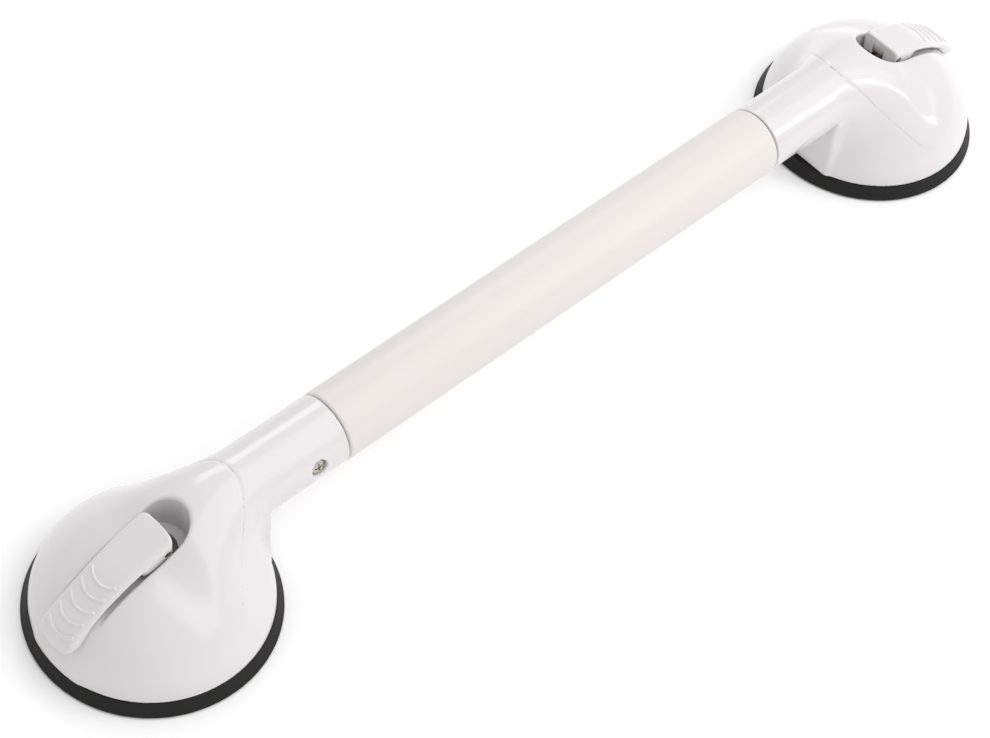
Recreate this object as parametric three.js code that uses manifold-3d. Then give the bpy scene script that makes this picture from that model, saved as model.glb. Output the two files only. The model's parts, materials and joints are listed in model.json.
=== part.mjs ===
// Suction grab bar: two vacuum hubs with cam levers, joined by a gripped tube.
// Millimetres. The bar runs along X, Z points away from the wall, and Z = 0 is the wall.
// A hub is modelled about its own suction axis, with +X pointing away from the bar.

import * as THREE from 'three';
import { mergeVertices } from 'three/addons/utils/BufferGeometryUtils.js';
import Module from 'manifold-3d';

const wasm = await Module();
wasm.setup();

// ---------------------------------------------------------------- driving dimensions

const gap = 0.3; // kept between pieces that touch

const hubSpacing = 450; // between the two suction axes
const barHeight = 46; // bar axis above the wall
const gripRadius = 16.65;
const gripHalfLength = 132.5;
const tubeRadius = 12.5;
const tubeWall = 1.8;
const tubeInsertion = 37; // length of tube inside each collar

const padRadius = 55;
const padHeight = 6.7;
const skirtRadius = 51.6;
const skirtBase = padHeight + gap;
const wall = 3; // plastic wall of the dome and skirt
const domeTop = 51.8;

const collarRadius = 16.4;
const collarEnd = gripHalfLength + gap - hubSpacing / 2;
const gussetFace = -49.5; // flat wall under the arm
const gussetHalfFoot = 18.8;
const gussetHalfTop = 16.2;

const pinHeight = 50;
const pinRadius = 1.5;
const leverAngle = 80 * Math.PI / 180; // swing of the lever from locked to released
const camLocked = 8; // pin to seat with the lever locked
const camReleased = 4.5;
const leverHalfWidth = 10.3;
const tongueRadius = 14; // the lever's tip ends in a round tongue
const tongueCentre = 35;

const seatTop = pinHeight - camLocked - gap;
const seatThickness = 2;
const seatRadius = 10.2;
const floorTop = seatTop - gap; // floor of the pocket, round the seat
const seatBed = seatTop - seatThickness - gap;
const seatBedThickness = 3.4;
const pocketRadius = 11.3; // round inner end of the lever's channel, and half its width
const pocketCentre = -4.2;
const pocketWall = 2.8;
const channelExit = [38, 33]; // where the channel's floor runs out of the dome, as [x, z]

const studRadius = 3;
const eyeRadius = 4;
const eyeHalfWidth = 3;
const runningGap = 0.3;

const plateRadius = 31;
const plateBottom = 5.9;
const plateTop = 8.4;
const plateBossRadius = 8.6;
const plateBossTop = 15;
const studFoot = 9.6;

const flangeRadius = 13.5;
const flangeThickness = 2.8;
const bushRadius = 6;
const bushBottom = 27;

const springRadius = 11.5;
const springWire = 0.9;
const springTurns = 5;

const coverScrewCircle = 40;
const coverScrewAngles = [-97, -35, 35, 97];
const bossRadius = 4.6;
const bossBottom = 11;
const coverScrewTop = 26;
const coverScrewHole = 1.8;

const tubeScrewX = -75.7;
const tubeScrewTilt = 10 * Math.PI / 180; // up from level, about the bar's axis
const tubeScrewHead = 3.6;
const tubeScrewSeat = 13.9;
const tubeScrewTop = 15.8;
const tubeScrewHole = 2.1;

const turnSteps = 36; // facets round the large outer surfaces
const hollowSteps = 24; // and round the hollows inside them
const smallSteps = 16;

// ---------------------------------------------------------------- solids

function toSolid(geometry) {
  geometry.deleteAttribute('normal');
  geometry.deleteAttribute('uv');
  const merged = mergeVertices(geometry);
  const index = merged.index.array;
  const corners = [];
  for (let i = 0; i < index.length; i += 3) {
    const [a, b, c] = [index[i], index[i + 1], index[i + 2]];
    if (a !== b && b !== c && c !== a) corners.push(a, b, c);
  }
  return new wasm.Manifold(new wasm.Mesh({
    numProp: 3,
    vertProperties: new Float32Array(merged.attributes.position.array),
    triVerts: new Uint32Array(corners),
  }));
}

function toGeometry(solid) {
  const mesh = solid.getMesh();
  const geometry = new THREE.BufferGeometry();
  geometry.setAttribute('position', new THREE.BufferAttribute(mesh.vertProperties, 3));
  geometry.setIndex(new THREE.BufferAttribute(mesh.triVerts, 1));
  return geometry;
}

function join(...solids) {
  return solids.reduce((whole, next) => whole.add(next));
}

// Outline of [radius, height] points turned about Z.
function turned(points, steps = turnSteps) {
  const outline = points.map(([r, z]) => new THREE.Vector2(r, z));
  return toSolid(new THREE.LatheGeometry(outline, steps).rotateX(Math.PI / 2));
}

// Ring of rectangular section about Z.
function ring(inner, outer, bottom, top, steps = smallSteps) {
  return turned([[inner, bottom], [outer, bottom], [outer, top], [inner, top], [inner, bottom]], steps);
}

// Cylinder along Z.
function rod(radius, bottom, top, x = 0, y = 0, steps = smallSteps) {
  const shape = new THREE.CylinderGeometry(radius, radius, top - bottom, steps).rotateX(Math.PI / 2);
  return toSolid(shape.translate(x, y, (bottom + top) / 2));
}

// Cylinder along X at the height of the bar.
function barRod(radius, from, to, steps = turnSteps) {
  const shape = new THREE.CylinderGeometry(radius, radius, to - from, steps).rotateZ(Math.PI / 2);
  return toSolid(shape.translate((from + to) / 2, 0, barHeight));
}

// Cylinder along Y.
function crossRod(radius, from, to, x, z, steps = smallSteps) {
  const shape = new THREE.CylinderGeometry(radius, radius, to - from, steps);
  return toSolid(shape.translate(x, (from + to) / 2, z));
}

// Turned about the bar's axis, so that what points along +Y rises by the angle.
function tilted(solid, angle) {
  return solid.translate(0, 0, -barHeight)
    .rotate(angle * 180 / Math.PI, 0, 0)
    .translate(0, 0, barHeight);
}

function block(low, high) {
  const size = high.map((value, i) => value - low[i]);
  const middle = high.map((value, i) => (value + low[i]) / 2);
  return toSolid(new THREE.BoxGeometry(...size).translate(...middle));
}

function outlineShape(points) {
  return new THREE.Shape(points.map(([a, b]) => new THREE.Vector2(a, b)));
}

// Outline of [x, z] points, extruded along Y to both sides.
function sideExtrusion(points, halfWidth) {
  const shape = new THREE.ExtrudeGeometry(outlineShape(points), { depth: 2 * halfWidth, bevelEnabled: false });
  return toSolid(shape.rotateX(Math.PI / 2).translate(0, halfWidth, 0));
}

// Outline of [x, y] points, extruded along Z.
function planExtrusion(points, bottom, top) {
  const shape = new THREE.ExtrudeGeometry(outlineShape(points), { depth: top - bottom, bevelEnabled: false });
  return toSolid(shape.translate(0, 0, bottom));
}

// Outline of [y, z] points, extruded along X.
function endExtrusion(points, from, to) {
  const shape = new THREE.ExtrudeGeometry(outlineShape(points), { depth: to - from, bevelEnabled: false });
  const turn = new THREE.Matrix4().makeBasis(
    new THREE.Vector3(0, 1, 0),
    new THREE.Vector3(0, 0, 1),
    new THREE.Vector3(1, 0, 0),
  );
  return toSolid(shape.applyMatrix4(turn).translate(from, 0, 0));
}

// ---------------------------------------------------------------- hub body shapes

const domeCurve = new THREE.CubicBezierCurve(
  new THREE.Vector2(skirtRadius, skirtBase),
  new THREE.Vector2(51.4, 24),
  new THREE.Vector2(33, 44.5),
  new THREE.Vector2(0, domeTop),
);

// The dome, drawn in by inset; an inset dome is the hollow inside it and runs out of its foot.
function dome(inset) {
  const steps = 8;
  const points = [[0, skirtBase - inset]];
  for (let i = 0; i <= steps; i += 1) {
    const at = domeCurve.getPoint(i / steps);
    const along = domeCurve.getTangent(i / steps);
    points.push([Math.max(at.x - inset * along.y, 0), at.y + inset * along.x]);
  }
  points[1][1] = points[0][1];
  points[points.length - 1][0] = 0;
  return turned(points, inset > 0 ? hollowSteps : turnSteps);
}

// Round section at x, standing upright, from which the arm's shoulder is drawn.
function shoulderPiece(from, to, inset) {
  const length = to.x - from.x;
  const steps = inset > 0 ? hollowSteps : turnSteps;
  const shape = new THREE.CylinderGeometry(from.r - inset, to.r - inset, length, steps);
  shape.rotateZ(Math.PI / 2);
  shape.applyMatrix4(new THREE.Matrix4().makeShear(0, (to.z - from.z) / length, 0, 0, 0, 0));
  return toSolid(shape.translate((from.x + to.x) / 2, 0, (from.z + to.z) / 2));
}

// The arm's shoulder: it leaves the collar round, widens over the dome and sinks into it.
const shoulderSections = [
  { x: -46, z: barHeight, r: collarRadius },
  { x: -34, z: 42.5, r: 20 },
  { x: -22, z: 36.1, r: 25.4 },
  { x: -10, z: 28.7, r: 29.9 },
  { x: 2, z: 25.8, r: 27 },
  { x: 14, z: 25, r: 22 },
];

function shoulder(inset) {
  const pieces = [];
  for (let i = 1; i < shoulderSections.length; i += 1) {
    pieces.push(shoulderPiece(shoulderSections[i - 1], shoulderSections[i], inset));
  }
  const aboveFoot = block([-padRadius, -padRadius, skirtBase], [padRadius, padRadius, 2 * barHeight]);
  return join(...pieces).intersect(aboveFoot);
}

// Whole outside of a hub: dome, arm and the flat-faced gusset under the arm.
function hubOutside() {
  const gusset = endExtrusion([
    [-gussetHalfFoot, skirtBase],
    [gussetHalfFoot, skirtBase],
    [gussetHalfTop, barHeight],
    [-gussetHalfTop, barHeight],
  ], gussetFace, -20);
  const whole = join(dome(0), barRod(collarRadius, collarEnd, shoulderSections[1].x), shoulder(0), gusset);
  return whole.subtract(block([-padRadius, -padRadius, 0], [gussetFace, padRadius, barHeight - collarRadius]));
}

function hubHollow() {
  const armHollow = barRod(tubeRadius - 2, collarEnd + tubeInsertion, shoulderSections[1].x, smallSteps);
  return join(dome(wall), shoulder(wall), armHollow)
    .subtract(block([collarEnd, -padRadius, 0], [-44, padRadius, 2 * barHeight]))
    .add(armHollow);
}

// The parting line between cover and housing, as [x, z]: level round the outside,
// then climbing in an S to the top of the arm.
const partingClimb = new THREE.SplineCurve([
  [5, 21.1], [-6, 22.5], [-13.7, 27], [-20.2, 35], [-24.6, 42.3], [-31, 49.2], [-37.3, 55.6], [-40.8, 63.5],
].map(([x, z]) => new THREE.Vector2(x, z)));

function partingLine(shift) {
  const points = partingClimb.getPoints(14).map((point) => [point.x - shift, point.y - shift]);
  return [[skirtRadius + wall, 21.1 - shift], ...points];
}

function aboveParting() {
  const line = partingLine(0);
  const top = 2 * barHeight;
  const closing = [[line.at(-1)[0], top], [line[0][0], top]];
  return sideExtrusion([...line, ...closing].reverse(), padRadius);
}

function belowParting() {
  const line = partingLine(gap * 0.8);
  const top = 2 * barHeight;
  const closing = [[line.at(-1)[0], top], [collarEnd - wall, top], [collarEnd - wall, 0], [line[0][0], 0]];
  return sideExtrusion([...line, ...closing], padRadius);
}

function screwCentre(angle) {
  const turn = angle * Math.PI / 180;
  return [coverScrewCircle * Math.cos(turn), coverScrewCircle * Math.sin(turn), turn];
}

// Screw bosses with a web to the outer wall.
function screwBosses() {
  return join(...coverScrewAngles.map((angle) => {
    const [x, y, turn] = screwCentre(angle);
    const web = new THREE.BoxGeometry(12, 3.5, 2 * (domeTop - bossBottom));
    web.translate(coverScrewCircle + 6, 0, domeTop).rotateZ(turn);
    return rod(bossRadius, bossBottom, domeTop, x, y).add(toSolid(web));
  }));
}

function screwHoles() {
  return join(...coverScrewAngles.map((angle) => {
    const [x, y] = screwCentre(angle);
    return rod(coverScrewHole, 0, coverScrewTop + 0.6, x, y, 12);
  }));
}

// ---------------------------------------------------------------- hub parts

function armHousing() {
  const tubeBore = barRod(tubeRadius + gap, collarEnd - 1, collarEnd + tubeInsertion + gap);
  const counterbore = crossRod(tubeScrewHead + 0.4, tubeScrewSeat - gap, gripRadius + 1, tubeScrewX, barHeight)
    .add(crossRod(tubeScrewHole, tubeRadius - 1, tubeScrewSeat, tubeScrewX, barHeight));
  return hubOutside()
    .subtract(hubHollow())
    .add(screwBosses().intersect(dome(0)))
    .intersect(belowParting())
    .subtract(join(screwHoles(), tubeBore))
    .subtract(tilted(counterbore, tubeScrewTilt));
}

// Side outline of the lever's channel; drop lowers its floor.
function channelOutline(drop) {
  const top = 2 * barHeight;
  const floor = floorTop - drop;
  const [exit, exitFloor] = channelExit;
  const outer = exitFloor - drop;
  return [[pocketCentre, floor], [14, floor], [exit, outer], [60, outer], [60, top], [pocketCentre, top]];
}

function domeCover() {
  const outside = hubOutside();
  const bedBottom = seatBed - seatBedThickness;
  const lining = rod(pocketRadius + pocketWall, bedBottom, 2 * barHeight, pocketCentre, 0, turnSteps)
    .add(rod(seatRadius + pocketWall, bedBottom, barHeight, 0, 0, hollowSteps))
    .add(sideExtrusion(channelOutline(pocketWall), pocketRadius + pocketWall));
  const opening = rod(pocketRadius, floorTop, 2 * barHeight, pocketCentre, 0, turnSteps)
    .add(rod(seatRadius + gap, seatBed, domeTop, 0, 0, hollowSteps))
    .add(sideExtrusion(channelOutline(0), pocketRadius));
  return outside
    .subtract(hubHollow())
    .add(join(lining, screwBosses()).intersect(outside))
    .intersect(aboveParting())
    .subtract(join(opening, screwHoles(), rod(bushRadius + gap, 0, domeTop)));
}

// Rubber disc: flat sealing lip, raised web in the middle, thick rim under the skirt.
function suctionPad() {
  return turned([
    [0, 3.2], [30, 3], [41, 1.9], [46, 0], [53.8, 0], [padRadius, 0.9], [54.7, 1.8],
    [skirtRadius + 0.2, padHeight], [46.5, padHeight], [43, 5.6], [0, 5.6],
  ]);
}

function pressurePlate() {
  const bore = studRadius + runningGap;
  return turned([
    [0, plateBottom], [plateRadius - 1, plateBottom], [plateRadius, plateBottom + 1],
    [plateRadius - 1, plateTop], [plateBossRadius + 1, plateTop], [plateBossRadius, plateBossTop],
    [bore, plateBossTop], [bore, studFoot - gap], [0, studFoot - gap],
  ], 32);
}

function padStud() {
  return rod(studRadius, studFoot, pinHeight - 1)
    .add(crossRod(eyeRadius, -eyeHalfWidth, eyeHalfWidth, 0, pinHeight))
    .subtract(crossRod(pinRadius + runningGap, -eyeHalfWidth - 1, eyeHalfWidth + 1, 0, pinHeight, 16));
}

function camSeat() {
  return ring(studRadius + runningGap, seatRadius, seatTop - seatThickness, seatTop, 24);
}

function guideBush() {
  const inner = studRadius + runningGap;
  const flangeTop = seatBed - seatBedThickness - gap;
  const flangeBottom = flangeTop - flangeThickness;
  const top = seatBed;
  return turned([
    [inner, bushBottom], [bushRadius, bushBottom], [bushRadius, flangeBottom], [flangeRadius, flangeBottom],
    [flangeRadius, flangeTop], [bushRadius, flangeTop], [bushRadius, top], [inner, top], [inner, bushBottom],
  ], 24);
}

class Helix extends THREE.Curve {
  constructor(radius, bottom, top, turns) {
    super();
    Object.assign(this, { radius, bottom, top, turns });
  }

  getPoint(t) {
    const angle = 2 * Math.PI * this.turns * t;
    const height = this.bottom + (this.top - this.bottom) * t;
    return new THREE.Vector3(this.radius * Math.cos(angle), this.radius * Math.sin(angle), height);
  }
}

function returnSpring() {
  const sides = 5;
  const section = [];
  for (let i = 0; i < sides; i += 1) {
    const angle = 2 * Math.PI * i / sides;
    section.push([springWire * Math.cos(angle), springWire * Math.sin(angle)]);
  }
  const flangeBottom = seatBed - seatBedThickness - gap - flangeThickness;
  const bottom = plateTop + gap + springWire;
  const path = new Helix(springRadius, bottom, flangeBottom - gap - springWire, springTurns);
  const steps = 10 * springTurns;
  return toSolid(new THREE.ExtrudeGeometry(outlineShape(section), { steps, extrudePath: path }));
}

// Side outline of the lever. The cam is the curve whose distance from the pin to its
// tangent shrinks evenly with the angle, so the stud falls evenly as the lever swings up.
function leverOutline() {
  const drop = (camReleased - camLocked) / leverAngle;
  const cam = [];
  const steps = 8;
  for (let i = 0; i <= steps; i += 1) {
    const angle = leverAngle * i / steps;
    const reach = camLocked + drop * angle;
    const x = -reach * Math.sin(angle) - drop * Math.cos(angle);
    const z = -reach * Math.cos(angle) + drop * Math.sin(angle);
    cam.push([x, pinHeight + z]);
  }
  const top = new THREE.SplineCurve([
    [-3.4, 57.4], [10, 52.4], [24.5, 46], [35.6, 39], [44, 33.2], [49, 28.6], [51.6, 23.8], [52.2, 20],
  ].map(([x, z]) => new THREE.Vector2(x, z))).getPoints(14).map((point) => [point.x, point.y]);
  const underside = [
    [49.8, 20], [48.2, 22.6], [44.2, 28.2], [40.6, 32], [37, 35], [30, 39.4], [20, 44.8], [12.5, 47.4], [12.5, 44.4],
  ];
  return [...cam, [-camReleased, pinHeight - 0.3], [-camReleased, 56.6], ...top, ...underside].reverse();
}

// Clearance for the stud's eye, open downwards and through the inner end.
function leverSlot() {
  const reach = eyeRadius + 0.4;
  const outline = [[-12, 53], [-12, 30], [reach, 30]];
  for (let i = 0; i <= 6; i += 1) {
    const angle = 0.72 * Math.PI * i / 6;
    outline.push([reach * Math.cos(angle), pinHeight + reach * Math.sin(angle)]);
  }
  return sideExtrusion(outline, eyeHalfWidth + runningGap);
}

// Raised arcs for the thumb, bulging towards the tip; the outline is a thin ring sector.
function leverRibs() {
  const radius = 11.3;
  const thickness = 1;
  const spread = 40 * Math.PI / 180;
  const steps = 5;
  return join(...[25, 30.5, 36, 41.5, 46.8].map((x) => {
    const centre = x - radius * Math.cos(spread);
    const outline = [];
    for (const [side, arc] of [[1, radius], [-1, radius - thickness]]) {
      for (let i = 0; i <= steps; i += 1) {
        const angle = side * spread * (2 * i / steps - 1);
        outline.push([centre + arc * Math.cos(angle), arc * Math.sin(angle)]);
      }
    }
    return planExtrusion(outline, 20, 60);
  }));
}

// Front view of the lever: straight sides that end in a round tongue.
function leverTongue() {
  const side = leverHalfWidth + 1;
  const spread = Math.asin(side / tongueRadius);
  const steps = 8;
  const outline = [];
  for (let i = 0; i <= steps; i += 1) {
    const angle = spread * (2 * i / steps - 1);
    outline.push([tongueRadius * Math.sin(angle), tongueCentre - tongueRadius * Math.cos(angle)]);
  }
  return endExtrusion([...outline, [side, 2 * barHeight], [-side, 2 * barHeight]], -padRadius, padRadius);
}

function leverBody() {
  const body = sideExtrusion(leverOutline(), leverHalfWidth);
  const raised = body.translate(0.3, 0, 0.4).intersect(leverRibs());
  return body.add(raised)
    .intersect(leverTongue())
    .subtract(leverSlot())
    .subtract(crossRod(pinRadius + runningGap, -leverHalfWidth - 1, leverHalfWidth + 1, 0, pinHeight, 16));
}

function leverPin() {
  return crossRod(pinRadius, gap - leverHalfWidth, leverHalfWidth - gap, 0, pinHeight, 16);
}

function coverScrew(angle) {
  const [x, y] = screwCentre(angle);
  const head = bossBottom - gap;
  return rod(3.1, head - 2.3, head, x, y, 16).add(rod(1.5, head - 1, coverScrewTop, x, y, 10));
}

// Button screw that holds the tube in the collar, with a cross recess.
function tubeScrew() {
  const depth = 1;
  const half = 1.9;
  const slot = 0.5;
  const [x, y, z] = [tubeScrewX, tubeScrewTop - depth, barHeight];
  const recess = block([x - half, y, z - slot], [x + half, y + 2, z + slot])
    .add(block([x - slot, y, z - half], [x + slot, y + 2, z + half]));
  const screw = crossRod(tubeScrewHead, tubeScrewSeat, tubeScrewTop, x, z)
    .add(crossRod(1.8, 7, tubeScrewSeat + 0.5, x, z, 12))
    .subtract(recess);
  return tilted(screw, tubeScrewTilt);
}

// ---------------------------------------------------------------- bar

function barTube() {
  const end = hubSpacing / 2 + collarEnd + tubeInsertion;
  const bar = barRod(tubeRadius, -end, end, 28).subtract(barRod(tubeRadius - tubeWall, -end - 1, end + 1, 28));
  const hole = hubSpacing / 2 + tubeScrewX;
  const right = crossRod(tubeScrewHole, 0, tubeRadius + 1, hole, barHeight, 12);
  const left = crossRod(tubeScrewHole, -tubeRadius - 1, 0, -hole, barHeight, 12);
  return bar
    .subtract(tilted(right, tubeScrewTilt))
    .subtract(tilted(left, -tubeScrewTilt));
}

function gripSleeve() {
  const half = gripHalfLength;
  const edge = 1.2;
  const outer = gripRadius;
  const inner = tubeRadius + gap;
  const outline = [
    [inner, -half], [outer - edge, -half], [outer, edge - half],
    [outer, half - edge], [outer - edge, half], [inner, half], [inner, -half],
  ].map(([r, along]) => new THREE.Vector2(r, along));
  const shape = new THREE.LatheGeometry(outline, turnSteps).rotateZ(-Math.PI / 2).translate(0, 0, barHeight);
  return toSolid(shape);
}

// ---------------------------------------------------------------- materials and assembly

function material(color, roughness, metalness = 0) {
  return new THREE.MeshStandardMaterial({ color, roughness, metalness });
}

const glossWhite = material(0xe6e1e1, 0.22);
const softGrip = material(0xe6e1da, 0.55);
const blackRubber = material(0x2b2a2b, 0.7);
const innerPlastic = material(0xb9b4ae, 0.5);
const darkPlastic = material(0x5a5654, 0.5);
const steel = material(0xb8b4ab, 0.3, 1);
const aluminium = material(0xc4c5c8, 0.4, 1);

const hubParts = [
  ['arm_housing', armHousing(), glossWhite],
  ['dome_cover', domeCover(), glossWhite],
  ['suction_pad', suctionPad(), blackRubber],
  ['pressure_plate', pressurePlate(), darkPlastic],
  ['pad_stud', padStud(), steel],
  ['cam_seat', camSeat(), darkPlastic],
  ['guide_bush', guideBush(), innerPlastic],
  ['return_spring', returnSpring(), steel],
  ['lever', leverBody(), glossWhite],
  ['lever_pin', leverPin(), steel],
  ['tube_screw', tubeScrew(), steel],
  ...coverScrewAngles.map((angle, i) => [`cover_screw_${i + 1}`, coverScrew(angle), steel]),
].map(([name, solid, look]) => [name, toGeometry(solid), look]);

function hub(side, x, turn) {
  const group = new THREE.Group();
  for (const [name, geometry, look] of hubParts) {
    const mesh = new THREE.Mesh(geometry, look);
    mesh.name = `${side}_${name}`;
    group.add(mesh);
  }
  group.position.x = x;
  group.rotation.z = turn;
  return group;
}

function barPart(name, solid, look) {
  const mesh = new THREE.Mesh(toGeometry(solid), look);
  mesh.name = name;
  return mesh;
}

const grabBar = new THREE.Group();
grabBar.add(
  hub('right', hubSpacing / 2, 0),
  hub('left', -hubSpacing / 2, Math.PI),
  barPart('bar_tube', barTube(), aluminium),
  barPart('grip_sleeve', gripSleeve(), softGrip),
);

export default grabBar;
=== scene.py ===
"""Suction grab bar: smooth shells, rubber, grip, materials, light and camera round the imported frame."""

import json
import math

import bpy
import numpy as np
from mathutils import Matrix, Vector


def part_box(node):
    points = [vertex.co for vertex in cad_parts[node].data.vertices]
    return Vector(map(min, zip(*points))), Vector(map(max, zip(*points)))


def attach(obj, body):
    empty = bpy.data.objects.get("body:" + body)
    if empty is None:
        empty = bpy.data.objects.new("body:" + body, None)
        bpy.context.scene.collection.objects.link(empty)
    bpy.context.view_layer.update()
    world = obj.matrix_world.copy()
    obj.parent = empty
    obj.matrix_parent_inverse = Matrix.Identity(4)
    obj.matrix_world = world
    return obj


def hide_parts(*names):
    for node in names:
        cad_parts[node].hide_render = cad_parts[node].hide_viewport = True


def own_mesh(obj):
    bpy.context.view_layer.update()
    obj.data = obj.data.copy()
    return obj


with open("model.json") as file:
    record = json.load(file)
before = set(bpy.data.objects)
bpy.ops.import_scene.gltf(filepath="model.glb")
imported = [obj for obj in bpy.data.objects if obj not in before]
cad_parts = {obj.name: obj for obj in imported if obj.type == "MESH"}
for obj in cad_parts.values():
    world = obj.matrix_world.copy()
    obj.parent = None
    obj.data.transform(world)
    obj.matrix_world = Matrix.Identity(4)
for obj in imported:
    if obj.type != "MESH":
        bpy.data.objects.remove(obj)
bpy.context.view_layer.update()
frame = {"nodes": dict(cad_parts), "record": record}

# Shapes are worked out in millimetres, about a hub's own suction axis: +x points away from
# the bar, z away from the wall. Both hubs are the same; the left one is turned half round.

MM = 0.001
SIDES = {"right": 1, "left": -1}

pad_low, pad_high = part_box("right_suction_pad")
hub_x = (pad_low.x + pad_high.x) / 2
PAD_RADIUS = (pad_high.x - pad_low.x) / 2 / MM
PAD_HEIGHT = pad_high.z / MM

sleeve_low, sleeve_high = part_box("grip_sleeve")
GRIP_RADIUS = (sleeve_high.z - sleeve_low.z) / 2 / MM
GRIP_HALF = sleeve_high.x / MM
BAR_HEIGHT = (sleeve_high.z + sleeve_low.z) / 2 / MM

tube_low, tube_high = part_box("bar_tube")
TUBE_RADIUS = (tube_high.z - tube_low.z) / 2 / MM
TUBE_END = tube_high.x / MM - hub_x / MM


def hub_box(node):
    """Lowest and highest corner of a right-hand node, in millimetres about the suction axis."""
    low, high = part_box("right_" + node)
    axis = Vector((hub_x, 0, 0))
    return (low - axis) / MM, (high - axis) / MM


housing_low, housing_high = hub_box("arm_housing")
COLLAR_END = housing_low.x
COLLAR_RADIUS = housing_high.z - BAR_HEIGHT
SKIRT_BASE = housing_low.z
SKIRT_RADIUS = housing_high.x

seat_low, seat_high = hub_box("cam_seat")
SEAT_TOP = seat_high.z
SEAT_BOTTOM = seat_low.z
SEAT_RADIUS = seat_high.x

pin_low, pin_high = hub_box("lever_pin")
PIN_HEIGHT = (pin_low.z + pin_high.z) / 2
PIN_RADIUS = (pin_high.z - pin_low.z) / 2
PIN_HALF = pin_high.y

screw_low, screw_high = hub_box("tube_screw")
SCREW_X = (screw_low.x + screw_high.x) / 2
SCREW_HEAD = (screw_high.x - screw_low.x) / 2
SCREW_TILT = math.radians(10)
SCREW_SHANK = 1.8
SCREW_TOP = (screw_high.y - SCREW_HEAD * math.sin(SCREW_TILT)) / math.cos(SCREW_TILT)
SCREW_END = (screw_low.y + SCREW_SHANK * math.sin(SCREW_TILT)) / math.cos(SCREW_TILT)

lever_low, lever_high = hub_box("lever")
LEVER_HALF = lever_high.y

GAP = 0.3
SEAM = 0.05
WALL = 3.0


# ---------------------------------------------------------------- fields: negative inside


def smooth_min(a, b, blend):
    overlap = np.maximum(blend - np.abs(a - b), 0) / blend
    return np.minimum(a, b) - overlap * overlap * blend / 4


def smooth_max(a, b, blend):
    return -smooth_min(-a, -b, blend)


def slab(value, low, high):
    return np.maximum(low - value, value - high)


def ease(value, start, end):
    """Rises smoothly from 0 to 1 between start and end."""
    t = np.clip((value - start) / (end - start), 0, 1)
    return t * t * (3 - 2 * t)


def outline_field(points, a, b):
    """Signed distance to a closed outline of points in the plane of a and b."""
    spread = np.broadcast(a, b).shape
    nearest = np.full(spread, 1e9)
    inside = np.zeros(spread, bool)
    for (ax, ay), (bx, by) in zip(points, points[1:] + points[:1]):
        ex, ey = bx - ax, by - ay
        along = np.clip(((a - ax) * ex + (b - ay) * ey) / (ex * ex + ey * ey), 0, 1)
        nearest = np.minimum(nearest, np.hypot(a - ax - along * ex, b - ay - along * ey))
        if ay != by:
            crossing = ax + (b - ay) * ex / ey
            inside ^= ((ay > b) != (by > b)) & (a < crossing)
    return np.where(inside, -nearest, nearest)


# ---------------------------------------------------------------- hub fields

DOME_RISE = 44.6
DOME_SPREAD = 1.44
DOME_CROWN = 1.96


def dome(x, y, z):
    """Dome of revolution whose wall leaves the skirt upright and flattens towards the top."""
    rho = np.maximum(np.hypot(x, y), 0.5) / SKIRT_RADIUS
    rise = np.maximum(z - SKIRT_BASE, 0) / DOME_RISE
    value = rho**DOME_SPREAD + rise**DOME_CROWN - 1
    across = DOME_SPREAD * rho ** (DOME_SPREAD - 1) / SKIRT_RADIUS
    up = DOME_CROWN * rise ** (DOME_CROWN - 1) / DOME_RISE
    return value / np.hypot(across, up)


ARM_START = -50.9
ARM_END = 67.9
ARM_SINK = 52.2
ARM_SWELL = 8.2
ARM_SWELL_END = -9.6
ARM_WANE = 19.9
ARM_WANE_START = -10.3
ARM_WANE_END = 22.5
ARM_CUT = 38
ARM_CUT_EDGE = 2
ARM_BLEND = 19.0


def arm(x, y, z):
    """Round arm: a straight collar that swells over the dome while its axis sinks into it."""
    centre = BAR_HEIGHT - ARM_SINK * ease(x, ARM_START, ARM_END)
    swell = ARM_SWELL * ease(x, ARM_START, ARM_SWELL_END)
    wane = ARM_WANE * ease(x, ARM_WANE_START, ARM_WANE_END)
    radius = COLLAR_RADIUS + swell - wane
    return smooth_max(np.hypot(y, z - centre) - radius, x - ARM_CUT, ARM_CUT_EDGE)


GUSSET_FACE = -49.5
GUSSET_HALF = 18.8
GUSSET_LEAN = 0.06
GUSSET_EDGE = 2.0
GUSSET_BLEND = 2.4
GUSSET_END = -20
GUSSET_TOP = BAR_HEIGHT - 5
GUSSET_FACE_TOP = BAR_HEIGHT - 4
GUSSET_FACE_SLOPE = 2
SKIRT_EDGE = 0.8


def outside(x, y, z):
    """The hub's whole outer skin: dome, arm and collar, with the gusset's flat wall under the arm."""
    body = smooth_min(dome(x, y, z), arm(x, y, z), ARM_BLEND)
    side = np.abs(y) - GUSSET_HALF + (z - SKIRT_BASE) * GUSSET_LEAN
    gusset = np.maximum(np.maximum(side, z - GUSSET_TOP), x - GUSSET_END)
    face = GUSSET_FACE - x - GUSSET_FACE_SLOPE * np.maximum(z - GUSSET_FACE_TOP, 0)
    body = smooth_max(smooth_min(body, gusset, GUSSET_BLEND), face, GUSSET_EDGE)
    collar = np.maximum(np.hypot(y, z - BAR_HEIGHT) - COLLAR_RADIUS, x - GUSSET_FACE - GUSSET_EDGE)
    body = np.minimum(body, collar)
    body = np.maximum(body, COLLAR_END - x)
    return smooth_max(body, SKIRT_BASE - z, SKIRT_EDGE)


HOLLOW_FOOT = SKIRT_BASE + 4
HOLLOW_START = TUBE_END + 4


def hollow(x, y, z):
    """The room inside the walls, open below and closed towards the bar's tube."""
    inner = outside(x, y, np.maximum(z, HOLLOW_FOOT)) + WALL
    return np.maximum(inner, HOLLOW_START - x)


def tube_bore(x, y, z):
    """Room for the end of the bar's tube."""
    radius = np.hypot(y, z - BAR_HEIGHT)
    return np.maximum(radius - TUBE_RADIUS - GAP, x - TUBE_END - GAP)


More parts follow.
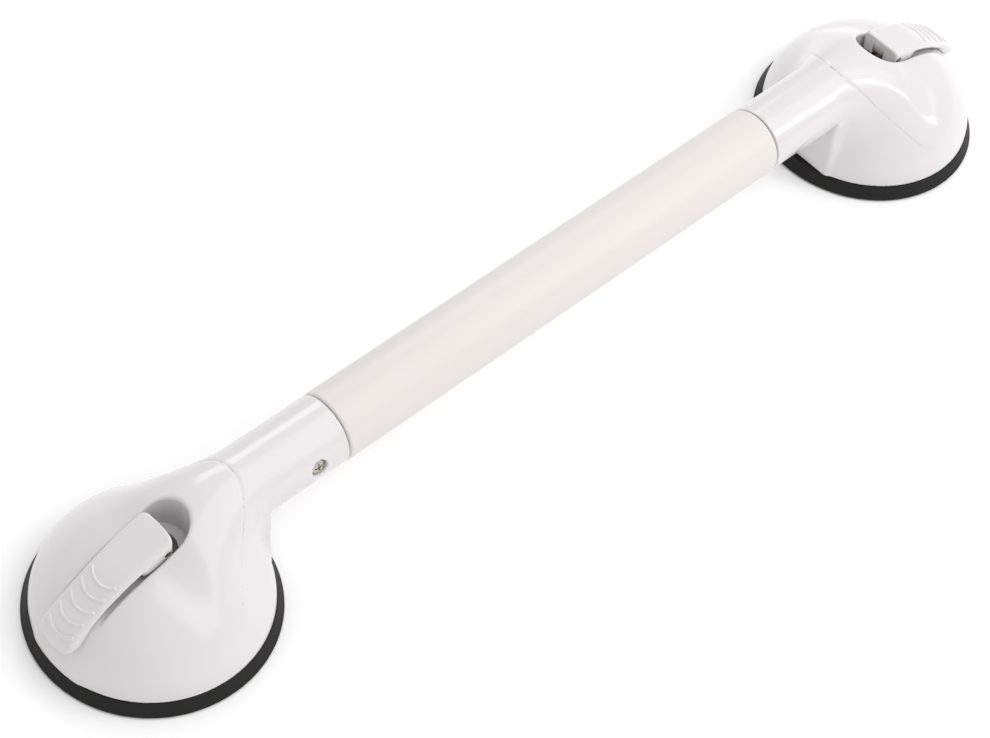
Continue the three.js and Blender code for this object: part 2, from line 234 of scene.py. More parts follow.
PARTING_LEVEL = 21.1
PARTING_SLOPE = 1.32
PARTING_START = -9.4
PARTING_BEND = 3.0
GROOVE_DEPTH = 0.3
GROOVE_HALF = 0.7
GROOVE_LOW = 44
GROOVE_HIGH = 54


def parting_height(x):
    """The line between cover and housing: level round the dome, then climbing to the arm's top."""
    climb = PARTING_SLOPE * PARTING_BEND * np.logaddexp(0, (PARTING_START - x) / PARTING_BEND)
    return PARTING_LEVEL + climb


def above_parting(x, z):
    """Distance above the parting line, square to it."""
    slope = PARTING_SLOPE * (1 - np.exp(-np.logaddexp(0, (PARTING_START - x) / PARTING_BEND)))
    return (z - parting_height(x)) / np.sqrt(1 + slope * slope)


POCKET_FLOOR = SEAT_TOP - GAP
POCKET_BACK = -15.5
CHANNEL_HALF = LEVER_HALF + 0.8
CHANNEL_FLOOR = [(-30, POCKET_FLOOR), (14, POCKET_FLOOR), (38, 33.2), (70, 33.2)]
CHANNEL_OUTLINE = CHANNEL_FLOOR + [(70, 90), (-30, 90)]
CHANNEL_DRAFT = 0.05
CHANNEL_EDGE = 0.6
POCKET_EDGE = 1.7
LINING = 2.8
SEAT_BED = 3.4
BUSH_RADIUS = 6.0


def channel(x, y, z, thick):
    """The lever's channel, round at its inner end and open where its floor leaves the dome."""
    inner = np.minimum(x - POCKET_BACK - CHANNEL_HALF, 0)
    plan = np.hypot(inner, y) - CHANNEL_HALF - CHANNEL_DRAFT * (z - BAR_HEIGHT)
    above_floor = outline_field(CHANNEL_OUTLINE, x, z)
    return smooth_max(plan, above_floor, CHANNEL_EDGE) - thick


def seat_well(x, y, z):
    """Bed for the cam seat, and the hole through it for the guide bush."""
    rho = np.hypot(x, y)
    bed = np.maximum(rho - SEAT_RADIUS - GAP, SEAT_BOTTOM - GAP - z)
    return np.minimum(bed, rho - BUSH_RADIUS - GAP)


BOSS_CIRCLE = 40.0
BOSS_ANGLES = (-97, -35, 35, 97)
BOSS_RADIUS = 4.6
BOSS_FOOT = 11
BOSS_HOLE = 1.8
BOSS_HOLE_TOP = 26.6


def bosses(x, y, radius):
    """Four upright cylinders on the cover screws' axes."""
    nearest = np.full(np.broadcast(x, y).shape, 1e9)
    for angle in BOSS_ANGLES:
        turn = math.radians(angle)
        reach = np.hypot(x - BOSS_CIRCLE * math.cos(turn), y - BOSS_CIRCLE * math.sin(turn))
        nearest = np.minimum(nearest, reach)
    return nearest - radius


COUNTERBORE_FLOOR = 13.6
COUNTERBORE_GAP = 0.4
COUNTERBORE_EDGE = 0.7
SCREW_HOLE = 2.1
COLLAR_EDGE = 0.9


def tilted(y, z):
    """Coordinates turned about the bar's axis to lie along the tube screw."""
    rise = z - BAR_HEIGHT
    return (y * math.cos(SCREW_TILT) + rise * math.sin(SCREW_TILT),
            rise * math.cos(SCREW_TILT) - y * math.sin(SCREW_TILT))


def neck_groove(x, z):
    """The edges along the parting line are softer where it crosses the arm."""
    depth = GROOVE_DEPTH * ease(z, GROOVE_LOW, GROOVE_HIGH)
    return depth * np.exp(-(above_parting(x, z) / GROOVE_HALF) ** 2)


def cover_body(x, y, z):
    """Dome cover, still whole below the parting line: walls, pocket lining, bed and bosses."""
    skin = outside(x, y, z) + neck_groove(x, z)
    under_seat = np.maximum(np.hypot(x, y) - SEAT_RADIUS - LINING, SEAT_BOTTOM - SEAT_BED - z)
    lining = np.minimum(channel(x, y, z, LINING), under_seat)
    walls = np.minimum(-hollow(x, y, z), np.minimum(lining, bosses(x, y, BOSS_RADIUS)))
    shell = np.maximum(skin, walls)
    shell = smooth_max(shell, -channel(x, y, z, 0), POCKET_EDGE)
    shell = np.maximum(shell, -seat_well(x, y, z))
    return np.maximum(shell, -np.maximum(bosses(x, y, BOSS_HOLE), z - BOSS_HOLE_TOP))


def cover_edge(x, y, z):
    """Trims the cover to what lies above the parting gap."""
    return SEAM / 2 - above_parting(x, z)


def housing_body(x, y, z):
    """Arm housing, still whole above the parting line: walls, bosses, tube bore and screw hole."""
    skin = outside(x, y, z) + neck_groove(x, z)
    walls = np.minimum(-hollow(x, y, z), np.maximum(bosses(x, y, BOSS_RADIUS), BOSS_FOOT - z))
    shell = np.maximum(skin, walls)
    shell = np.maximum(shell, -bosses(x, y, BOSS_HOLE))
    shell = np.maximum(shell, -tube_bore(x, y, z))
    out, up = tilted(y, z)
    across = np.hypot(x - SCREW_X, up)
    counterbore = np.maximum(across - SCREW_HEAD - COUNTERBORE_GAP, COUNTERBORE_FLOOR - out)
    shell = smooth_max(shell, -counterbore, COUNTERBORE_EDGE)
    shell = np.maximum(shell, -np.maximum(across - SCREW_HOLE, -out))
    return smooth_max(shell, COLLAR_END - x, COLLAR_EDGE)


def housing_edge(x, y, z):
    """Trims the housing to what lies below the parting gap."""
    return SEAM / 2 + above_parting(x, z)


# ---------------------------------------------------------------- lever field

# The heel is the lever's end over the pin, the tongue its rounded tip.

LEVER_TOP = [
    (-3.6, 57.4), (10, 52.3), (24.5, 46), (35.6, 39),
    (44, 33.2), (49, 28.6), (51.2, 24.4), (52, 19.5),
]
LEVER_UNDER = [
    (46, 19.5), (37.5, 33), (30, 38.4), (20, 43.8),
    (13.4, 46.6), (12.4, 44.5), (2.5, SEAT_TOP + GAP),
]
LEVER_EDGE = 3.2
LEVER_CLEARANCE = 0.35

RIB_STATIONS = (25, 30.5, 36, 41.5, 46.8)
RIB_RADIUS = 9.7
RIB_HALF = 7.2
RIB_BEAD = 0.74
RIB_SUNK = 0.2
RIB_DEPTH = 2
RIB_BLEND = 0.35

TONGUE_RADIUS = 14
TONGUE_CENTRE = lever_low.z + TONGUE_RADIUS
TONGUE_EDGE = 1.2

LEVER_SPARE = 0.1
LEVER_WAIST = 0.4
LEVER_FLARE = 0.5
LEVER_HEEL = [(-4.5, PIN_HEIGHT), (-4.5, 56.8)]
HEEL_CENTRE = 26
HEEL_RADIUS = 30.6
HEEL_EDGE = 1.8
HEEL_END = 10

CARVE_START = 30
CARVE_END = 37
CARVE_EDGE = 0.5
EYE_SLOT = [(-12, 53), (-12, 30), (4.4, 30), (4.4, PIN_HEIGHT), (3.2, 53), (0, 54.4), (-3, 53)]
EYE_SLOT_HALF = 3.3
EYE_SLOT_EDGE = 0.4
PIN_HOLE_EDGE = 0.3

LEVER_SWING = math.radians(80)
CAM_LOCKED = PIN_HEIGHT - SEAT_TOP - GAP
CAM_RELEASED = 4.5
FAR = 9.0  # far enough outside to leave the other fields alone


def cam_points(steps=12):
    """The cam's curve: its distance from the pin to its tangent falls evenly with the angle."""
    drop = (CAM_RELEASED - CAM_LOCKED) / LEVER_SWING
    for i in range(steps + 1):
        angle = LEVER_SWING * i / steps
        reach = CAM_LOCKED + drop * angle
        x = -reach * math.sin(angle) - drop * math.cos(angle)
        z = -reach * math.cos(angle) + drop * math.sin(angle)
        yield x, PIN_HEIGHT + z


def between(before, start, end, after, t):
    """One coordinate of a smooth curve from start to end that also heeds the points beyond them."""
    square = 2 * before - 5 * start + 4 * end - after
    cube = 3 * start - before - 3 * end + after
    return 0.5 * (2 * start + (end - before) * t + square * t * t + cube * t**3)


def spline(points, steps=5):
    """Points along a smooth curve through the given ones."""
    run = [points[0]] + list(points) + [points[-1]]
    out = []
    for corners in zip(run, run[1:], run[2:], run[3:]):
        for i in range(steps):
            out.append(tuple(between(*values, i / steps) for values in zip(*corners)))
    return out + [tuple(points[-1])]


def thumb_ribs(x, y, z, side, top):
    """Raised arcs across the lever, bulging towards its tip; they lie only on its curved top."""
    run = np.array(top)
    length = np.concatenate([[0], np.cumsum(np.hypot(*np.diff(run, axis=0).T))])
    along = np.interp(x, run[:, 0], length)
    drop = math.sqrt(RIB_RADIUS**2 - RIB_HALF**2)
    nearest = np.full(np.broadcast(x, y).shape, 1e9)
    for station in RIB_STATIONS:
        ahead = along - np.interp(station, run[:, 0], length)
        reach = np.hypot(ahead + drop, y)
        on_arc = np.abs(y) * RIB_RADIUS <= RIB_HALF * reach
        bow = np.where(on_arc & (ahead + drop > 0), np.abs(reach - RIB_RADIUS),
                       np.hypot(ahead, np.abs(y) - RIB_HALF))
        nearest = np.minimum(nearest, bow)
    bead = np.hypot(nearest, side + RIB_SUNK) - RIB_BEAD
    near_top = z > np.interp(x, run[:, 0], run[:, 1]) - RIB_DEPTH
    return np.where(near_top, bead, FAR)


def lever_half(x):
    """Half the lever's width: a little waisted along its length and wider again at the tip."""
    return LEVER_HALF + LEVER_SPARE - LEVER_WAIST * ease(x, 6, 34) + LEVER_FLARE * ease(x, 44, 52)


def lever(x, y, z):
    """Thumb lever: an extruded side outline, rounded at the heel and tongue, with ribs, slot and hole."""
    top = spline(LEVER_TOP)
    side = outline_field(top + LEVER_UNDER + list(cam_points()) + LEVER_HEEL, x, z)
    body = smooth_max(side, np.abs(y) - lever_half(x), LEVER_EDGE)
    heel = np.hypot(x - HEEL_CENTRE, y) - HEEL_RADIUS
    body = np.where(x < HEEL_END, smooth_max(body, heel, HEEL_EDGE), body)
    tongue = np.where(z < TONGUE_CENTRE, np.hypot(y, z - TONGUE_CENTRE), np.abs(y)) - TONGUE_RADIUS
    body = smooth_max(body, tongue, TONGUE_EDGE)
    over_dome = LEVER_CLEARANCE - outside(x, y, z) - FAR * (1 - ease(x, CARVE_START, CARVE_END))
    body = smooth_max(body, over_dome, CARVE_EDGE)
    body = smooth_min(body, thumb_ribs(x, y, z, side, top), RIB_BLEND)
    eye_slot = np.maximum(outline_field(EYE_SLOT, x, z), np.abs(y) - EYE_SLOT_HALF)
    body = smooth_max(body, -eye_slot, EYE_SLOT_EDGE)
    hole = np.hypot(x, z - PIN_HEIGHT) - PIN_RADIUS - GAP
    return smooth_max(body, -hole, PIN_HOLE_EDGE)


# ---------------------------------------------------------------- meshes


def crossing_quads(inside, number):
    """One quad round every grid edge that the surface crosses, wound to face outwards."""
    quads = []
    for axis in range(3):
        a, b = (axis + 1) % 3, (axis + 2) % 3
        lower = np.take(inside, range(inside.shape[axis] - 1), axis)
        upper = np.take(inside, range(1, inside.shape[axis]), axis)
        edges = np.argwhere(lower != upper)
        corners = []
        for back_a, back_b in ((0, 0), (1, 0), (1, 1), (0, 1)):
            cell = edges.copy()
            cell[:, a] -= back_a
            cell[:, b] -= back_b
            corners.append(number[tuple(cell.T)])
        faces = np.stack(corners, axis=1)
        outward = lower[tuple(edges.T)]
        quads.append(np.where(outward[:, None], faces, faces[:, ::-1]))
    return np.concatenate(quads)


PROBE = 0.04
LEAST_SLOPE = 0.05
LONGEST_MOVE = 0.6
CREASE_MOVE = 0.5
CREASE_DAMPING = 0.01


def slope(field, points):
    """The field's gradient at each point."""
    parts = []
    for axis in range(3):
        step = np.zeros(3)
        step[axis] = PROBE
        ahead = points + step
        behind = points - step
        parts.append((field(*ahead.T) - field(*behind.T)) / (2 * PROBE))
    return np.stack(parts, axis=1)


def settle(field, points, quads, rounds=5):
    """Spreads the points evenly and lays them exactly on the surface."""
    weight = np.bincount(quads.ravel(), minlength=len(points))
    for turn in range(rounds):
        if turn < rounds - 2:
            middle = points[quads].mean(axis=1)
            spread = [np.bincount(quads.ravel(), np.repeat(middle[:, k], 4), len(points)) for k in range(3)]
            points = (points + np.stack(spread, axis=1) / weight[:, None]) / 2
        gradient = slope(field, points)
        steepness = np.maximum((gradient**2).sum(axis=1), LEAST_SLOPE)
        move = np.clip(field(*points.T) / steepness, -LONGEST_MOVE, LONGEST_MOVE)
        points = points - move[:, None] * gradient
    return points


def crossed(inside):
    """Cells of the grid whose corners lie on both sides."""
    counts = np.array(inside.shape)
    corners = np.zeros(counts - 1, int)
    for i in (0, 1):
        for j in (0, 1):
            for k in (0, 1):
                corners += inside[i:counts[0] - 1 + i, j:counts[1] - 1 + j, k:counts[2] - 1 + k]
    return (corners > 0) & (corners < 8)


def even_crease(points, quads, crease, body, cut, rounds=8):
    """Lays the crease's points on it at even distances."""
    edges = np.concatenate([quads[:, [k, (k + 1) % 4]] for k in range(4)])
    edges = np.unique(np.sort(edges[crease[edges].all(axis=1)], axis=1), axis=0)
    ends = np.concatenate([edges, edges[:, ::-1]])
    count = np.bincount(ends[:, 0], minlength=len(points))
    moving = crease & (count > 1)
    points = points.copy()
    points[crease] = to_crease(points[crease], body, cut)
    for _ in range(rounds):
        total = [np.bincount(ends[:, 0], points[ends[:, 1], k], len(points)) for k in range(3)]
        middle = np.stack(total, axis=1)[moving] / count[moving, None]
        points[moving] = (points[moving] + middle) / 2
        points[crease] = to_crease(points[crease], body, cut, 2)
    return points


def to_crease(points, body, cut, rounds=4):
    """Lays points on the line where two surfaces meet."""
    for _ in range(rounds):
        values = np.stack([body(*points.T), cut(*points.T)], axis=1)
        slopes = np.stack([slope(body, points), slope(cut, points)], axis=1)
        square = slopes @ slopes.transpose(0, 2, 1) + CREASE_DAMPING * np.eye(2)
        step = np.linalg.solve(square, values[..., None])
        move = (slopes.transpose(0, 2, 1) @ step)[..., 0]
        points = points - np.clip(move, -CREASE_MOVE, CREASE_MOVE)
    return points


def unit(vectors):
    return vectors / np.linalg.norm(vectors, axis=1, keepdims=True)


def field_surface(body, low, high, step, cut=None, lift=None):
    """Closed mesh of the surface where a field is 0: points, quads and exact normals.

    A cut trims the body along a crisp edge, and the grid's rows rise with lift(x) to follow it.
    """
    low, high = np.array(low, float), np.array(high, float)
    counts = np.ceil((high - low) / step).astype(int) + 1
    axes = [low[i] + step * np.arange(counts[i]) for i in range(3)]
    x, y, row = np.meshgrid(*axes, indexing="ij", sparse=True)
    z = row + lift(x) if lift else row

    def field(*at):
        return np.maximum(body(*at), cut(*at)) if cut else body(*at)

    inside = np.broadcast_to(body(x, y, z) < 0, counts)
    if cut:
        kept = np.broadcast_to(cut(x, y, z) < 0, counts)
        both = crossed(inside) & crossed(kept)
        inside = inside & kept
    mixed = crossed(inside)
    number = np.full(mixed.shape, -1)
    number[mixed] = np.arange(mixed.sum())
    quads = crossing_quads(inside, number)
    centres = low + step * (np.argwhere(mixed) + 0.5)
    if lift:
        centres[:, 2] += lift(centres[:, 0])
    points = settle(field, centres, quads)
    normals = unit(slope(field, points))
    if cut:
        crease = both[mixed]
        points[crease] = even_crease(centres, quads, crease, body, cut)[crease]
        normals[crease] = unit(slope(body, points[crease]))
    return points, quads, normals


def new_object(name, points, faces, material, normals=None):
    """Smooth-shaded mesh object from points in metres."""
    mesh = bpy.data.meshes.new(name)
    mesh.from_pydata(points.tolist(), [], [list(face) for face in faces])
    mesh.polygons.foreach_set("use_smooth", np.ones(len(mesh.polygons), bool))
    mesh.update()
    if normals is not None:
        mesh.normals_split_custom_set_from_vertices(normals.tolist())
    mesh.materials.append(material)
    piece = bpy.data.objects.new(name, mesh)
    bpy.context.scene.collection.objects.link(piece)
    return piece


def to_frame(points, side):
    """From hub millimetres to metres in the part's frame, for the right or the left hub."""
    return points * np.array([side, side, 1]) * MM + np.array([side * hub_x, 0, 0])


def hub_pieces(name, node, shape, material, body):
    """The same shape on both hubs, each standing for its CAD node."""
    points, faces, normals = shape
    for prefix, side in SIDES.items():
        turned = None if normals is None else normals * np.array([side, side, 1])
        piece = new_object(f"{prefix}_{name}", to_frame(points, side), faces, material, turned)
        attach(piece, body.format(prefix))
        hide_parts(f"{prefix}_{node}")


ON_AXIS = 1e-6


def lathe(profile, steps):
    """Closed ring of a closed [radius, height] outline turned about z; on-axis points are shared."""
    points, faces, rings = [], [], []
    for radius, height in profile:
        if radius < ON_AXIS:
            rings.append([len(points)] * steps)
            points.append((0.0, 0.0, height))
            continue
        rings.append(list(range(len(points), len(points) + steps)))
        for i in range(steps):
            angle = 2 * math.pi * i / steps
            points.append((radius * math.cos(angle), radius * math.sin(angle), height))
    for k in range(len(rings)):
        here, after = rings[k], rings[(k + 1) % len(rings)]
        for i in range(steps):
            j = (i + 1) % steps
            face = []
            for corner in (here[i], here[j], after[j], after[i]):
                if corner not in face:
                    face.append(corner)
            if len(face) > 2:
                faces.append(face)
    return np.array(points), faces


def rounded(profile, radius, steps=4):
    """A closed outline with each corner rounded by up to the given radius."""
    out = []
    count = len(profile)
    for i, corner in enumerate(profile):
        here = Vector(corner)
        before = Vector(profile[i - 1]) - here
        after = Vector(profile[(i + 1) % count]) - here
        if here.x < ON_AXIS:
            out.append(tuple(here))
            continue
        cut = min(radius, before.length * 0.45, after.length * 0.45)
        start = here + before.normalized() * cut
        end = here + after.normalized() * cut
        for k in range(steps + 1):
            t = k / steps
            out.append(tuple(start * (1 - t) ** 2 + here * 2 * t * (1 - t) + end * t * t))
    return out


# ---------------------------------------------------------------- materials


def new_material(name):
    material = bpy.data.materials.new(name)
    material.use_nodes = True
    tree = material.node_tree
    return material, tree, tree.nodes["Principled BSDF"]


PATCH_SCALE = 18.0
BUMP_HEIGHT = 0.0001


def noise(tree, scale, detail, roughness):
    coordinates = tree.nodes.new("ShaderNodeTexCoord")
    texture = tree.nodes.new("ShaderNodeTexNoise")
    texture.inputs["Scale"].default_value = scale
    texture.inputs["Detail"].default_value = detail
    texture.inputs["Roughness"].default_value = roughness
    tree.links.new(coordinates.outputs["Object"], texture.inputs["Vector"])
    return texture.outputs["Fac"]


def ramp_between(tree, factor, low, high):
    """Maps a 0..1 factor to the span from low to high."""
    node = tree.nodes.new("ShaderNodeMapRange")
    node.inputs["To Min"].default_value = low
    node.inputs["To Max"].default_value = high
    tree.links.new(factor, node.inputs["Value"])
    return node.outputs["Result"]


def colour_between(tree, factor, first, second):
    node = tree.nodes.new("ShaderNodeMix")
    node.data_type = "RGBA"
    node.inputs["A"].default_value = (*first, 1)
    node.inputs["B"].default_value = (*second, 1)
    tree.links.new(factor, node.inputs["Factor"])
    return node.outputs["Result"]


def bump(tree, shader, height, strength):
    node = tree.nodes.new("ShaderNodeBump")
    node.inputs["Strength"].default_value = strength
    node.inputs["Distance"].default_value = BUMP_HEIGHT
    tree.links.new(height, node.inputs["Height"])
    tree.links.new(node.outputs["Normal"], shader.inputs["Normal"])


def surface_material(name, first, second, roughness, grain, relief, metallic=0.0):
    """Two close colours in soft patches, a roughness that varies, and a fine grain in the relief."""
    material, tree, shader = new_material(name)
    shader.inputs["Metallic"].default_value = metallic
    patches = noise(tree, PATCH_SCALE, detail=3.0, roughness=0.5)
    fine = noise(tree, grain, detail=5.0, roughness=0.6)
    tree.links.new(colour_between(tree, patches, first, second), shader.inputs["Base Color"])
    tree.links.new(ramp_between(tree, fine, *roughness), shader.inputs["Roughness"])
    bump(tree, shader, fine, relief)
    return material, shader


def gloss_white():
    material, shader = surface_material(
        "gloss_white", (0.668, 0.642, 0.651), (0.692, 0.666, 0.675),
        roughness=(0.13, 0.2), grain=900, relief=0.02)
    shader.inputs["IOR"].default_value = 1.5
    return material


def soft_grip():
    material, shader = surface_material(
        "soft_grip", (0.678, 0.638, 0.618), (0.698, 0.658, 0.638),
        roughness=(0.36, 0.48), grain=1400, relief=0.08)
    shader.inputs["IOR"].default_value = 1.48
    return material


def black_rubber():
    material, shader = surface_material(
        "black_rubber", (0.008, 0.0075, 0.0072), (0.014, 0.013, 0.0125),
        roughness=(0.45, 0.6), grain=700, relief=0.1)
    shader.inputs["Specular IOR Level"].default_value = 0.22
    return material


def dark_plastic():
    return surface_material(
        "dark_plastic", (0.075, 0.062, 0.055), (0.1, 0.085, 0.075),
        roughness=(0.4, 0.55), grain=900, relief=0.1)[0]


def inner_plastic():
    return surface_material(
        "inner_plastic", (0.5, 0.47, 0.43), (0.55, 0.52, 0.48),
        roughness=(0.35, 0.5), grain=900, relief=0.08)[0]


def bright_steel():
    return surface_material(
        "bright_steel", (0.46, 0.42, 0.37), (0.54, 0.50, 0.44),
        roughness=(0.22, 0.36), grain=2200, relief=0.12, metallic=1.0)[0]


def aluminium_tube():
    return surface_material(
        "aluminium_tube", (0.6, 0.61, 0.62), (0.68, 0.69, 0.7),
        roughness=(0.3, 0.45), grain=2600, relief=0.15, metallic=1.0)[0]


MATERIALS = {
    "gloss_white": gloss_white(),
    "soft_grip": soft_grip(),
    "black_rubber": black_rubber(),
    "dark_plastic": dark_plastic(),
    "inner_plastic": inner_plastic(),
    "bright_steel": bright_steel(),
    "aluminium_tube": aluminium_tube(),
}


# ---------------------------------------------------------------- pieces

SHELL_STEP = 0.7
SHELL_FOOT = 4
COVER_START = -50
COVER_RISE = 45
LEVER_STEP = 0.3
LEVER_GRID = ((-8, -12.5, 17), (56, 12.5, 60))
SCREW_STEP = 0.22
ARM_TOP_X = -46.0


def parting_lift(x):
    """The shells' grid rows follow the parting line as far as the arm's top."""
    return parting_height(np.maximum(x, ARM_TOP_X))


def shells():
    """Cover and housing, on grids whose points match along the parting line."""
    reach = PAD_RADIUS
    lowest_row = -1.5 * SHELL_STEP
    start = COLLAR_END - 2
    cover_start = start + SHELL_STEP * round((COVER_START - start) / SHELL_STEP)
    rows_down = math.ceil((parting_height(ARM_TOP_X) - SHELL_FOOT) / SHELL_STEP)
    housing_foot = lowest_row - SHELL_STEP * rows_down
    cover = field_surface(
        cover_body, (cover_start, -reach, lowest_row), (reach, reach, COVER_RISE),
        SHELL_STEP, cover_edge, parting_lift)
    housing = field_surface(
        housing_body, (start, -reach, housing_foot), (reach, reach, 2),
        SHELL_STEP, housing_edge, parting_lift)
    white = MATERIALS["gloss_white"]
    hub_pieces("cover_shell", "dome_cover", cover, white, "frame")
    hub_pieces("housing_shell", "arm_housing", housing, white, "frame")


def thumb_levers():
    shape = field_surface(lever, *LEVER_GRID, LEVER_STEP)
    hub_pieces("thumb_lever", "lever", shape, MATERIALS["gloss_white"], "{}_cam_lever")


PAD_SPLIT = 45.4
PAD_EDGE = 0.5
PAD_HOLLOW = 3.2
RING_COUNT = 8
RING_PITCH = 4.5
RING_HALF = 0.5
RING_DEPTH = 0.45


def suction_pads():
    """Each pad is a rim that stays on the wall and a separate middle; both hang on the frame."""
    rim = rounded([
        (PAD_SPLIT, 0.3), (46.5, 0), (53.9, 0), (PAD_RADIUS, 0.7), (PAD_RADIUS - 0.1, 1.5), (54.2, 2.3),
        (SKIRT_RADIUS + 0.3, PAD_HEIGHT), (46.5, PAD_HEIGHT), (PAD_SPLIT, 5.8),
    ], PAD_EDGE)
    rubber = MATERIALS["black_rubber"]
    points, faces = lathe(rim, 160)
    hub_pieces("pad_rim", "suction_pad", (points, faces, None), rubber, "frame")
    underside = [(0, PAD_HOLLOW)]
    for i in range(RING_COUNT):
        radius = RING_PITCH * (i + 1)
        height = PAD_HOLLOW - 2.6 * ease(radius, 22, 44)
        underside += [
            (radius - RING_HALF, height), (radius, height + RING_DEPTH), (radius + RING_HALF, height)]
    middle_edge = PAD_SPLIT - 0.15
    middle = underside + [(42, 0.75), (middle_edge, 0.35), (middle_edge, 5.5), (0, 5.6)]
    points, faces = lathe(middle, 96)
    for prefix, side in SIDES.items():
        piece = new_object(f"{prefix}_pad_middle", to_frame(points, side), faces, rubber)
        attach(piece, "frame")
        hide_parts(f"{prefix}_suction_pad")
        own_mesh(piece)


def tube_section(inner, outer, half, edge):
    """Section of a tube, or of a rod when inner is 0, that reaches half to each side."""
    return rounded([(inner, -half), (outer, -half), (outer, half), (inner, half)], edge)


GRIP_EDGE = 1.6
PIN_EDGE = 0.35
PIN_SPARE = 0.1


def grip():
    """Sleeve between the collars, with softly rounded ends."""
    points, faces = lathe(tube_section(TUBE_RADIUS + GAP, GRIP_RADIUS, GRIP_HALF, GRIP_EDGE), 128)
    points = points[:, [2, 1, 0]] * np.array([1, -1, 1]) + np.array([0, 0, BAR_HEIGHT])
    piece = new_object("grip_tube", points * MM, faces, MATERIALS["soft_grip"])
    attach(piece, "frame")
    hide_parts("grip_sleeve")


def lever_pins():
    points, faces = lathe(tube_section(0, PIN_RADIUS, PIN_HALF + PIN_SPARE, PIN_EDGE), 40)
    points = points[:, [0, 2, 1]] * np.array([1, 1, -1]) + np.array([0, 0, PIN_HEIGHT])
    shape = (points, faces, None)
    hub_pieces("hinge_pin", "lever_pin", shape, MATERIALS["bright_steel"], "{}_cam_lever")


SCREW_HEAD_BASE = SCREW_TOP - 1.9
CROWN_RADIUS = 7.5
CROWN_EDGE = 0.5
CROSS_HALF = 0.45
CROSS_REACH = 2
CROSS_FLOOR = SCREW_TOP - 1.2
CROSS_EDGE = 0.25


def screw(x, y, z):
    """Pan-head screw with a cross recess."""
    out, up = tilted(y, z)
    across = np.hypot(x - SCREW_X, up)
    sideways = np.abs(x - SCREW_X)
    upwards = np.abs(up)
    crown = np.hypot(across, out - SCREW_TOP + CROWN_RADIUS) - CROWN_RADIUS
    head = smooth_max(np.maximum(across - SCREW_HEAD, SCREW_HEAD_BASE - out), crown, CROWN_EDGE)
    shank = np.maximum(across - SCREW_SHANK, slab(out, SCREW_END, SCREW_HEAD_BASE + 0.5))
    one_arm = np.maximum(sideways - CROSS_HALF, upwards - CROSS_REACH)
    other_arm = np.maximum(upwards - CROSS_HALF, sideways - CROSS_REACH)
    recess = np.maximum(np.minimum(one_arm, other_arm), CROSS_FLOOR - out)
    return smooth_max(np.minimum(head, shank), -recess, CROSS_EDGE)


def tube_screws():
    reach = SCREW_HEAD + 1
    low = (SCREW_X - reach, screw_low.y - 1, BAR_HEIGHT - 3)
    high = (SCREW_X + reach, screw_high.y + 1, screw_high.z + 1)
    shape = field_surface(screw, low, high, SCREW_STEP)
    hub_pieces("cross_screw", "tube_screw", shape, MATERIALS["bright_steel"], "frame")


def finish_cad_nodes():
    """The CAD pieces that are kept take the scene's materials."""
    slots = {part["node"]: part["material_slot"] for part in frame["record"]["subparts"]}
    for name, node in frame["nodes"].items():
        if node.hide_render:
            continue
        node.data.materials.clear()
        node.data.materials.append(MATERIALS[slots[name]])


shells()
thumb_levers()
suction_pads()
grip()
lever_pins()
tube_screws()
finish_cad_nodes()


# ---------------------------------------------------------------- stage

CAMERA_AZIMUTH = math.radians(-50.387)
CAMERA_ELEVATION = math.radians(52.273)
CAMERA_ROLL = math.radians(9.249)
CAMERA_DISTANCE = 1.1721
CAMERA_TARGET = Vector((-0.02746, 0.00032, 0))
CAMERA_LENS = 93.5
LAMP_TARGET = Vector((0, 0, 0.03))
WORLD_STRENGTH = 0.74
FLOOR_HALF = 6.0
FLOOR_LEVEL = -0.0002


def orbit(azimuth, elevation):
    """Unit vector from the object towards a viewer or lamp; azimuth 0 is -Y."""
    flat = math.cos(elevation)
    return Vector((math.sin(azimuth) * flat, -math.cos(azimuth) * flat, math.sin(elevation)))


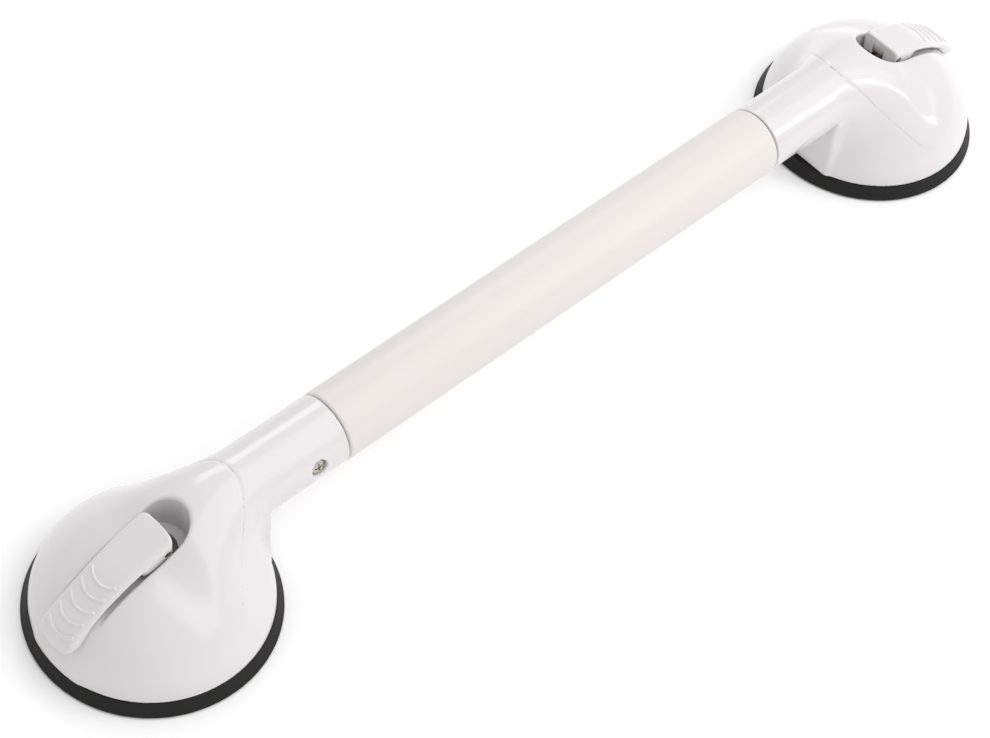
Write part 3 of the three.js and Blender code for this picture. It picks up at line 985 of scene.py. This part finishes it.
def camera():
    back = orbit(CAMERA_AZIMUTH, CAMERA_ELEVATION)
    right = (-back).cross(Vector((0, 0, 1))).normalized()
    up = right.cross(-back)
    turn = Matrix((right, up, back)).transposed() @ Matrix.Rotation(CAMERA_ROLL, 3, "Z")
    data = bpy.data.cameras.new("camera")
    data.lens = CAMERA_LENS
    data.sensor_width = 36
    data.clip_start, data.clip_end = 0.01, 50
    view = bpy.data.objects.new("camera", data)
    view.matrix_world = Matrix.Translation(CAMERA_TARGET + back * CAMERA_DISTANCE) @ turn.to_4x4()
    bpy.context.scene.collection.objects.link(view)
    bpy.context.scene.camera = view


def softbox(name, azimuth, elevation, distance, width, height, power):
    """Rectangular lamp that faces the bar, placed by angles in degrees and a distance in metres."""
    data = bpy.data.lights.new(name, "AREA")
    data.shape = "RECTANGLE"
    data.size, data.size_y = width, height
    data.energy = power
    lamp = bpy.data.objects.new(name, data)
    towards = orbit(math.radians(azimuth), math.radians(elevation))
    lamp.location = LAMP_TARGET + towards * distance
    lamp.rotation_euler = towards.to_track_quat("Z", "Y").to_euler()
    bpy.context.scene.collection.objects.link(lamp)


def floor():
    """Plain pale floor, a hair below the pads so that the two never share a plane."""
    far = FLOOR_HALF
    level = FLOOR_LEVEL
    corners = np.array([(-far, -far, level), (far, -far, level), (far, far, level), (-far, far, level)])
    material, tree, shader = new_material("floor")
    shader.inputs["Base Color"].default_value = (0.97, 0.97, 0.97, 1)
    shader.inputs["Roughness"].default_value = 0.9
    shader.inputs["Specular IOR Level"].default_value = 0.1
    plane = new_object("floor", corners, [(0, 1, 2, 3)], material)


def surroundings():
    studio = bpy.data.worlds.new("studio")
    studio.use_nodes = True
    background = studio.node_tree.nodes["Background"]
    background.inputs["Color"].default_value = (1, 1, 1, 1)
    background.inputs["Strength"].default_value = WORLD_STRENGTH
    bpy.context.scene.world = studio


camera()
floor()
surroundings()
softbox("strip_softbox", azimuth=47, elevation=28, distance=1.7, width=0.045, height=0.75, power=2.2)
softbox("back_softbox", azimuth=150, elevation=40, distance=1.8, width=1.0, height=0.6, power=6)
softbox("front_softbox", azimuth=35, elevation=54, distance=2.5, width=3, height=3, power=37)
bpy.context.scene.view_settings.view_transform = "Standard"
